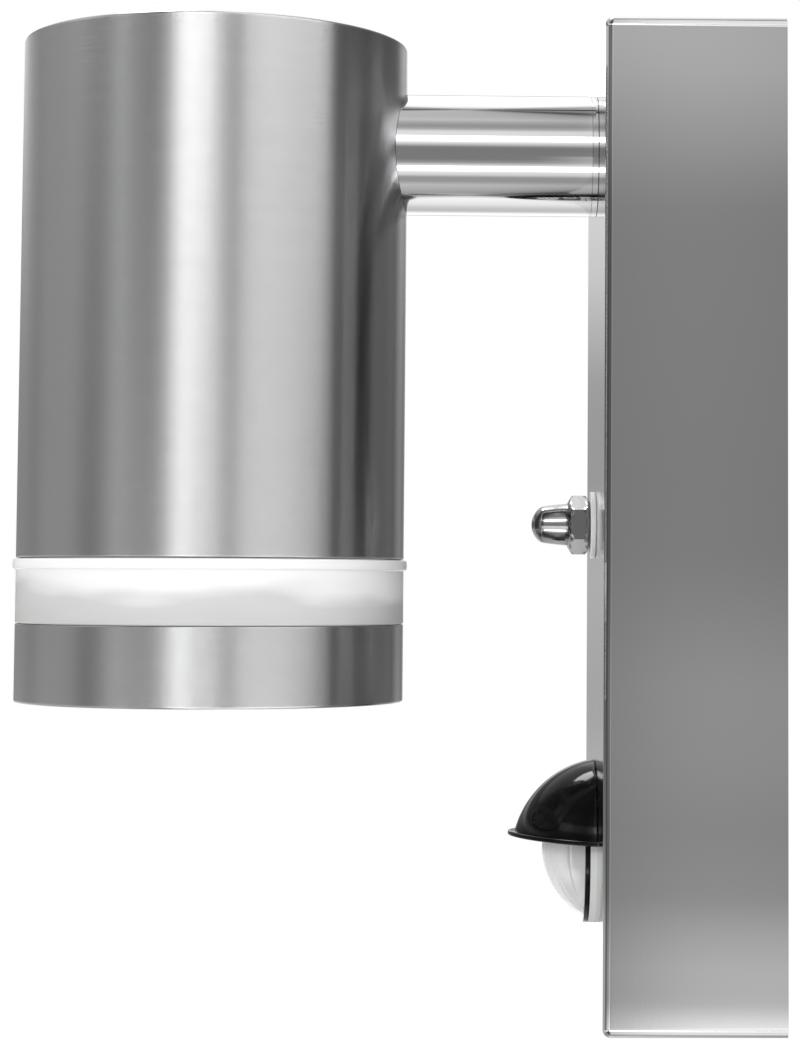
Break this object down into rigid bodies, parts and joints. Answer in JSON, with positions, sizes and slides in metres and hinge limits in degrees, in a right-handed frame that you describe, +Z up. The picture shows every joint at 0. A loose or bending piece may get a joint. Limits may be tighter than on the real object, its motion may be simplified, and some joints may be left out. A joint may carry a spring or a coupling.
{
  "type": "outdoor wall light",
  "caption": "Wall light with a downward tube lamp on a short arm, a slim steel case on the wall, and a hooded motion sensor below the lamp.",
  "frame": {"origin": "on the wall plane, at the middle of the two fixing slots of the wall bracket, half way up the case", "axes": "+Z up, -Y to the front away from the wall, +X to the right of a person who faces the light's back"},
  "size_m": [0.061, 0.1175, 0.15],
  "materials": {
    "brushed_tube": "horizontally brushed stainless steel",
    "brushed_case": "satin stainless sheet",
    "polished_arm": "polished stainless steel",
    "polished_nut": "bright plated",
    "plated_steel": "zinc plated",
    "threaded_rod": "zinc plated, threaded",
    "brass": "machined",
    "black_rubber": "matte",
    "pale_silicone": "matte",
    "grey_foam": "closed-cell foam",
    "white_nylon": "matte",
    "clear_plastic": "clear polished moulding",
    "clear_glass": "toughened, clear",
    "milky_lens": "milky polyethylene with fresnel facets",
    "black_gloss": "glossy moulding",
    "dark_moulding": "fine texture",
    "white_moulding": "satin moulding",
    "ceramic": "glazed steatite",
    "circuit_board": "solder resist",
    "relay_case": "moulded",
    "capacitor_sleeve": "shrink sleeve",
    "sensor_can": "nickel plated",
    "trimmer_case": "moulded",
    "trimmer_knob": "moulded",
    "reflector_glass": "aluminised glass",
    "lamp_glass": "pressed glass",
    "brown_sleeve": "heat-resistant sleeving",
    "blue_sleeve": "insulation",
    "green_yellow_sleeve": "insulation"
  },
  "bodies": {
    "fixture": {"case": "brushed_case", "wall_bracket": "plated_steel", "bracket_stud": "plated_steel", "stud_nut": "plated_steel", "cable_grommet": "black_rubber", "terminal_block": "white_moulding", "terminal_clamps": "brass", "terminal_screws": "brass", "block_screw": "plated_steel", "rear_gasket": "grey_foam", "sealing_washer": "white_nylon", "cap_nut": "polished_nut", "arm_seal": "black_rubber", "arm_tube": "polished_arm", "arm_nipple": "threaded_rod", "arm_lockwasher": "plated_steel", "earth_tag": "brass", "arm_nut": "plated_steel", "saddle_washer": "plated_steel", "arm_tube_nut": "plated_steel", "lamp_tube": "brushed_tube", "thread_insert": "dark_moulding", "lampholder_bracket": "plated_steel", "lampholder": "ceramic", "contact_plate": "dark_moulding", "lampholder_contacts": "brass", "lampholder_screws": "plated_steel", "sensor_hood": "black_gloss", "sensor_lens": "milky_lens", "sensor_seal": "pale_silicone", "sensor_nut": "dark_moulding", "sensor_housing": "dark_moulding", "sensor_cover": "dark_moulding", "cover_screws": "plated_steel", "sensor_board": "circuit_board", "board_screws": "plated_steel", "pyro_sensor": "sensor_can", "relay": "relay_case", "supply_capacitor": "capacitor_sleeve", "trimmer_bodies": "trimmer_case", "lamp_leads": "brown_sleeve", "sensor_leads": "blue_sleeve", "earth_lead": "green_yellow_sleeve"},
    "cap_thread": {"diffuser_seal": "black_rubber"},
    "bottom_cap": {"diffuser_ring": "clear_plastic", "end_ring": "brushed_tube", "front_glass": "clear_glass", "glass_gasket": "black_rubber"},
    "lamp": {"lamp_base": "white_moulding", "lamp_shell": "reflector_glass", "lamp_lens": "lamp_glass", "lamp_pins": "sensor_can"},
    "time_knob": {"time_trimmer": "trimmer_knob"},
    "lux_knob": {"lux_trimmer": "trimmer_knob"}
  },
  "joints": [
    {"name": "cap_travel", "type": "slide", "parent": "fixture", "child": "cap_thread", "axis": [0, 0, -1], "range_m": [0, 0.00401]},
    {"name": "cap_turn", "type": "hinge", "parent": "cap_thread", "child": "bottom_cap", "pos_m": [0, -0.087, -0.0157], "axis": [0, 0, -1], "range_deg": [0, 720]},
    {"name": "lamp_twist", "type": "hinge", "parent": "fixture", "child": "lamp", "pos_m": [0, -0.087, 0.0325], "axis": [0, 0, -1], "range_deg": [0, 25]},
    {"name": "time_knob_turn", "type": "hinge", "parent": "fixture", "child": "time_knob", "pos_m": [-0.009, -0.01, -0.059], "axis": [0, 1, 0], "range_deg": [-135, 135]},
    {"name": "lux_knob_turn", "type": "hinge", "parent": "fixture", "child": "lux_knob", "pos_m": [0.009, -0.01, -0.059], "axis": [0, 1, 0], "range_deg": [-135, 135]}
  ],
  "couplings": [
    {"joint": "cap_travel", "follows": "cap_turn", "m_per_rad": 0.00031831}
  ]
}
